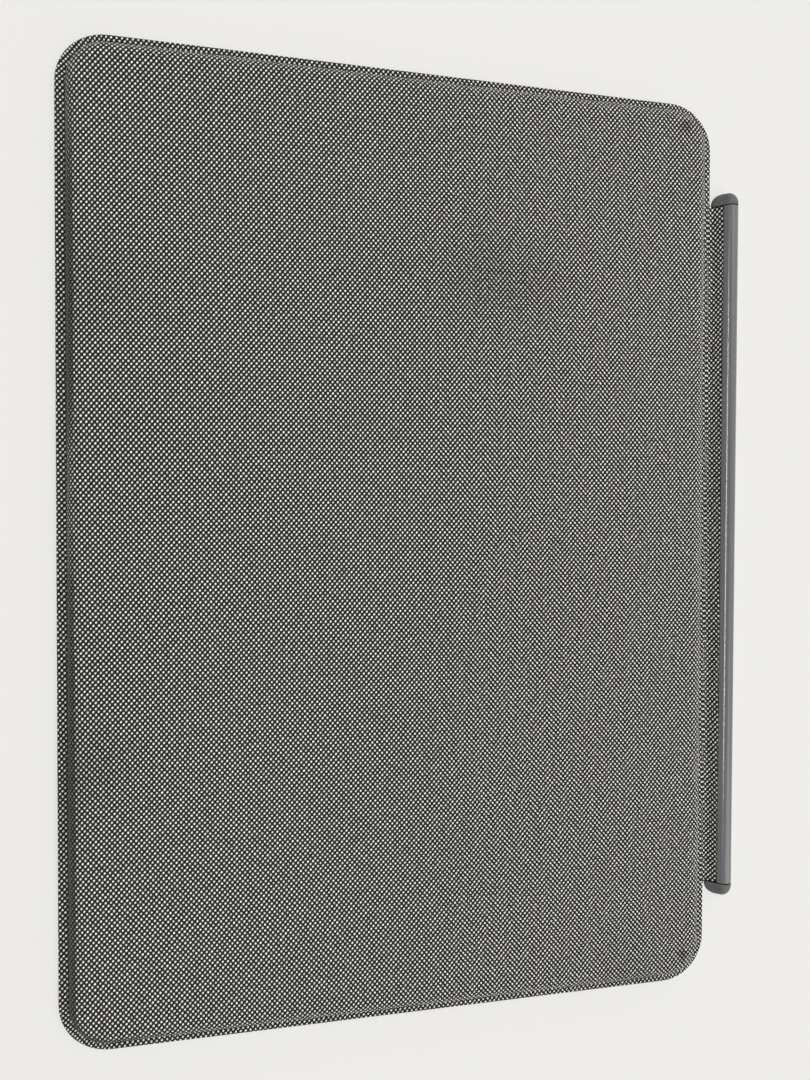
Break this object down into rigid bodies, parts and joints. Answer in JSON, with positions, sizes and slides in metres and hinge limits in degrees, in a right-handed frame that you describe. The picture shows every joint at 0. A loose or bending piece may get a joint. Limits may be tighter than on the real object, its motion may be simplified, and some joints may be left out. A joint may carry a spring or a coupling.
{
  "type": "tablet keyboard",
  "caption": "Detachable fabric-covered keyboard of a tablet case, keys down, with trackpad, short fabric hinge and magnetic connector bar with sprung contacts.",
  "frame": {"origin": "centre of the whole outline on the plane that the key side rests on", "axes": "+X along the long side (the typist's left when the keys face down), +Y towards the connector bar, +Z from the key side to the woven back"},
  "size_m": [0.252, 0.1844, 0.0056],
  "materials": {
    "woven_fabric": "plain weave of white over dark grey yarn, matt",
    "hinge_lining": "fine matt microfibre",
    "tray_shell": "glass-filled, matt",
    "deck_frame": "matt",
    "key_grid": "fine matt texture",
    "keycap": "soft-touch matt",
    "link_plastic": "natural acetal",
    "dome_rubber": "translucent silicone",
    "membrane_film": "printed film",
    "steel_plate": "rolled sheet",
    "light_sheet": "clear acrylic",
    "circuit_board": "solder mask",
    "ribbon_film": "polyimide film",
    "magnet_plating": "nickel plating",
    "trackpad_face": "fine etched, satin",
    "bar_plastic": "smooth satin",
    "strip_plastic": "matt",
    "cap_plastic": "fine matt",
    "block_plastic": "matt",
    "contact_gold": "gold plating"
  },
  "bodies": {
    "panel": {"back_fabric": "woven_fabric", "back_tray": "tray_shell", "front_fabric": "woven_fabric", "deck_frame": "deck_frame", "key_bezel": "key_grid", "scissor_links": "link_plastic", "rubber_domes": "dome_rubber", "membrane": "membrane_film", "switch_plate": "steel_plate", "light_guide": "light_sheet", "main_board": "circuit_board", "board_flex": "ribbon_film", "latch_magnets": "magnet_plating", "trackpad_bracket": "steel_plate", "trackpad_switch": "steel_plate", "hinge_fabric": "woven_fabric", "hinge_lining": "hinge_lining", "hinge_flex": "ribbon_film"},
    "trackpad": {"trackpad_surface": "trackpad_face", "trackpad_board": "circuit_board"},
    "connector_bar": {"bar_shell": "bar_plastic", "contact_strip": "strip_plastic", "end_cap_left": "cap_plastic", "end_cap_right": "cap_plastic", "bar_magnets": "magnet_plating", "pin_block": "block_plastic"},
    "contact_pin_1": {"contact_pin_1": "contact_gold"},
    "contact_pin_2": {"contact_pin_2": "contact_gold"},
    "contact_pin_3": {"contact_pin_3": "contact_gold"},
    "function_keys": {"function_keys": "keycap"},
    "number_keys": {"number_keys": "keycap"},
    "side_keys": {"side_keys": "keycap"},
    "bottom_keys": {"bottom_keys": "keycap"},
    "key_space": {"key_space": "keycap"},
    "key_q": {"key_q": "keycap"},
    "key_w": {"key_w": "keycap"},
    "key_e": {"key_e": "keycap"},
    "key_r": {"key_r": "keycap"},
    "key_t": {"key_t": "keycap"},
    "key_y": {"key_y": "keycap"},
    "key_u": {"key_u": "keycap"},
    "key_i": {"key_i": "keycap"},
    "key_o": {"key_o": "keycap"},
    "key_p": {"key_p": "keycap"},
    "key_a": {"key_a": "keycap"},
    "key_s": {"key_s": "keycap"},
    "key_d": {"key_d": "keycap"},
    "key_f": {"key_f": "keycap"},
    "key_g": {"key_g": "keycap"},
    "key_h": {"key_h": "keycap"},
    "key_j": {"key_j": "keycap"},
    "key_k": {"key_k": "keycap"},
    "key_l": {"key_l": "keycap"},
    "key_z": {"key_z": "keycap"},
    "key_x": {"key_x": "keycap"},
    "key_c": {"key_c": "keycap"},
    "key_v": {"key_v": "keycap"},
    "key_b": {"key_b": "keycap"},
    "key_n": {"key_n": "keycap"},
    "key_m": {"key_m": "keycap"}
  },
  "joints": [
    {"name": "bar_hinge", "type": "hinge", "parent": "panel", "child": "connector_bar", "pos_m": [0, 0.08485, 0.0007], "axis": [1, 0, 0], "range_deg": [-90, 60], "deforming": ["hinge_fabric", "hinge_lining", "hinge_flex"]},
    {"name": "trackpad_click", "type": "hinge", "parent": "panel", "child": "trackpad", "pos_m": [0, -0.02252, 0.00175], "axis": [-1, 0, 0], "range_deg": [0, 0.277], "stiffness_Nm_per_rad": 5.5, "springref_deg": -0.11},
    {"name": "contact_pin_1_plunge", "type": "slide", "parent": "connector_bar", "child": "contact_pin_1", "axis": [0, 0, 1], "range_m": [0, 0.00035], "stiffness_N_per_m": 900, "springref_m": -0.0003},
    {"name": "contact_pin_2_plunge", "type": "slide", "parent": "connector_bar", "child": "contact_pin_2", "axis": [0, 0, 1], "range_m": [0, 0.00035], "stiffness_N_per_m": 900, "springref_m": -0.0003},
    {"name": "contact_pin_3_plunge", "type": "slide", "parent": "connector_bar", "child": "contact_pin_3", "axis": [0, 0, 1], "range_m": [0, 0.00035], "stiffness_N_per_m": 900, "springref_m": -0.0003},
    {"name": "function_keys_press", "type": "slide", "parent": "panel", "child": "function_keys", "axis": [0, 0, 1], "range_m": [0, 0.001], "stiffness_N_per_m": 420, "springref_m": -0.0004, "deforming": ["scissor_links", "rubber_domes"]},
    {"name": "number_keys_press", "type": "slide", "parent": "panel", "child": "number_keys", "axis": [0, 0, 1], "range_m": [0, 0.001], "stiffness_N_per_m": 420, "springref_m": -0.0004, "deforming": ["scissor_links", "rubber_domes"]},
    {"name": "side_keys_press", "type": "slide", "parent": "panel", "child": "side_keys", "axis": [0, 0, 1], "range_m": [0, 0.001], "stiffness_N_per_m": 420, "springref_m": -0.0004, "deforming": ["scissor_links", "rubber_domes"]},
    {"name": "bottom_keys_press", "type": "slide", "parent": "panel", "child": "bottom_keys", "axis": [0, 0, 1], "range_m": [0, 0.001], "stiffness_N_per_m": 420, "springref_m": -0.0004, "deforming": ["scissor_links", "rubber_domes"]},
    {"name": "space_bar_press", "type": "slide", "parent": "panel", "child": "key_space", "axis": [0, 0, 1], "range_m": [0, 0.001], "stiffness_N_per_m": 420, "springref_m": -0.0004, "deforming": ["scissor_links", "rubber_domes"]},
    {"name": "key_q_press", "type": "slide", "parent": "panel", "child": "key_q", "axis": [0, 0, 1], "range_m": [0, 0.001], "stiffness_N_per_m": 420, "springref_m": -0.0004, "deforming": ["scissor_links", "rubber_domes"]},
    {"name": "key_w_press", "type": "slide", "parent": "panel", "child": "key_w", "axis": [0, 0, 1], "range_m": [0, 0.001], "stiffness_N_per_m": 420, "springref_m": -0.0004, "deforming": ["scissor_links", "rubber_domes"]},
    {"name": "key_e_press", "type": "slide", "parent": "panel", "child": "key_e", "axis": [0, 0, 1], "range_m": [0, 0.001], "stiffness_N_per_m": 420, "springref_m": -0.0004, "deforming": ["scissor_links", "rubber_domes"]},
    {"name": "key_r_press", "type": "slide", "parent": "panel", "child": "key_r", "axis": [0, 0, 1], "range_m": [0, 0.001], "stiffness_N_per_m": 420, "springref_m": -0.0004, "deforming": ["scissor_links", "rubber_domes"]},
    {"name": "key_t_press", "type": "slide", "parent": "panel", "child": "key_t", "axis": [0, 0, 1], "range_m": [0, 0.001], "stiffness_N_per_m": 420, "springref_m": -0.0004, "deforming": ["scissor_links", "rubber_domes"]},
    {"name": "key_y_press", "type": "slide", "parent": "panel", "child": "key_y", "axis": [0, 0, 1], "range_m": [0, 0.001], "stiffness_N_per_m": 420, "springref_m": -0.0004, "deforming": ["scissor_links", "rubber_domes"]},
    {"name": "key_u_press", "type": "slide", "parent": "panel", "child": "key_u", "axis": [0, 0, 1], "range_m": [0, 0.001], "stiffness_N_per_m": 420, "springref_m": -0.0004, "deforming": ["scissor_links", "rubber_domes"]},
    {"name": "key_i_press", "type": "slide", "parent": "panel", "child": "key_i", "axis": [0, 0, 1], "range_m": [0, 0.001], "stiffness_N_per_m": 420, "springref_m": -0.0004, "deforming": ["scissor_links", "rubber_domes"]},
    {"name": "key_o_press", "type": "slide", "parent": "panel", "child": "key_o", "axis": [0, 0, 1], "range_m": [0, 0.001], "stiffness_N_per_m": 420, "springref_m": -0.0004, "deforming": ["scissor_links", "rubber_domes"]},
    {"name": "key_p_press", "type": "slide", "parent": "panel", "child": "key_p", "axis": [0, 0, 1], "range_m": [0, 0.001], "stiffness_N_per_m": 420, "springref_m": -0.0004, "deforming": ["scissor_links", "rubber_domes"]},
    {"name": "key_a_press", "type": "slide", "parent": "panel", "child": "key_a", "axis": [0, 0, 1], "range_m": [0, 0.001], "stiffness_N_per_m": 420, "springref_m": -0.0004, "deforming": ["scissor_links", "rubber_domes"]},
    {"name": "key_s_press", "type": "slide", "parent": "panel", "child": "key_s", "axis": [0, 0, 1], "range_m": [0, 0.001], "stiffness_N_per_m": 420, "springref_m": -0.0004, "deforming": ["scissor_links", "rubber_domes"]},
    {"name": "key_d_press", "type": "slide", "parent": "panel", "child": "key_d", "axis": [0, 0, 1], "range_m": [0, 0.001], "stiffness_N_per_m": 420, "springref_m": -0.0004, "deforming": ["scissor_links", "rubber_domes"]},
    {"name": "key_f_press", "type": "slide", "parent": "panel", "child": "key_f", "axis": [0, 0, 1], "range_m": [0, 0.001], "stiffness_N_per_m": 420, "springref_m": -0.0004, "deforming": ["scissor_links", "rubber_domes"]},
    {"name": "key_g_press", "type": "slide", "parent": "panel", "child": "key_g", "axis": [0, 0, 1], "range_m": [0, 0.001], "stiffness_N_per_m": 420, "springref_m": -0.0004, "deforming": ["scissor_links", "rubber_domes"]},
    {"name": "key_h_press", "type": "slide", "parent": "panel", "child": "key_h", "axis": [0, 0, 1], "range_m": [0, 0.001], "stiffness_N_per_m": 420, "springref_m": -0.0004, "deforming": ["scissor_links", "rubber_domes"]},
    {"name": "key_j_press", "type": "slide", "parent": "panel", "child": "key_j", "axis": [0, 0, 1], "range_m": [0, 0.001], "stiffness_N_per_m": 420, "springref_m": -0.0004, "deforming": ["scissor_links", "rubber_domes"]},
    {"name": "key_k_press", "type": "slide", "parent": "panel", "child": "key_k", "axis": [0, 0, 1], "range_m": [0, 0.001], "stiffness_N_per_m": 420, "springref_m": -0.0004, "deforming": ["scissor_links", "rubber_domes"]},
    {"name": "key_l_press", "type": "slide", "parent": "panel", "child": "key_l", "axis": [0, 0, 1], "range_m": [0, 0.001], "stiffness_N_per_m": 420, "springref_m": -0.0004, "deforming": ["scissor_links", "rubber_domes"]},
    {"name": "key_z_press", "type": "slide", "parent": "panel", "child": "key_z", "axis": [0, 0, 1], "range_m": [0, 0.001], "stiffness_N_per_m": 420, "springref_m": -0.0004, "deforming": ["scissor_links", "rubber_domes"]},
    {"name": "key_x_press", "type": "slide", "parent": "panel", "child": "key_x", "axis": [0, 0, 1], "range_m": [0, 0.001], "stiffness_N_per_m": 420, "springref_m": -0.0004, "deforming": ["scissor_links", "rubber_domes"]},
    {"name": "key_c_press", "type": "slide", "parent": "panel", "child": "key_c", "axis": [0, 0, 1], "range_m": [0, 0.001], "stiffness_N_per_m": 420, "springref_m": -0.0004, "deforming": ["scissor_links", "rubber_domes"]},
    {"name": "key_v_press", "type": "slide", "parent": "panel", "child": "key_v", "axis": [0, 0, 1], "range_m": [0, 0.001], "stiffness_N_per_m": 420, "springref_m": -0.0004, "deforming": ["scissor_links", "rubber_domes"]},
    {"name": "key_b_press", "type": "slide", "parent": "panel", "child": "key_b", "axis": [0, 0, 1], "range_m": [0, 0.001], "stiffness_N_per_m": 420, "springref_m": -0.0004, "deforming": ["scissor_links", "rubber_domes"]},
    {"name": "key_n_press", "type": "slide", "parent": "panel", "child": "key_n", "axis": [0, 0, 1], "range_m": [0, 0.001], "stiffness_N_per_m": 420, "springref_m": -0.0004, "deforming": ["scissor_links", "rubber_domes"]},
    {"name": "key_m_press", "type": "slide", "parent": "panel", "child": "key_m", "axis": [0, 0, 1], "range_m": [0, 0.001], "stiffness_N_per_m": 420, "springref_m": -0.0004, "deforming": ["scissor_links", "rubber_domes"]}
  ]
}
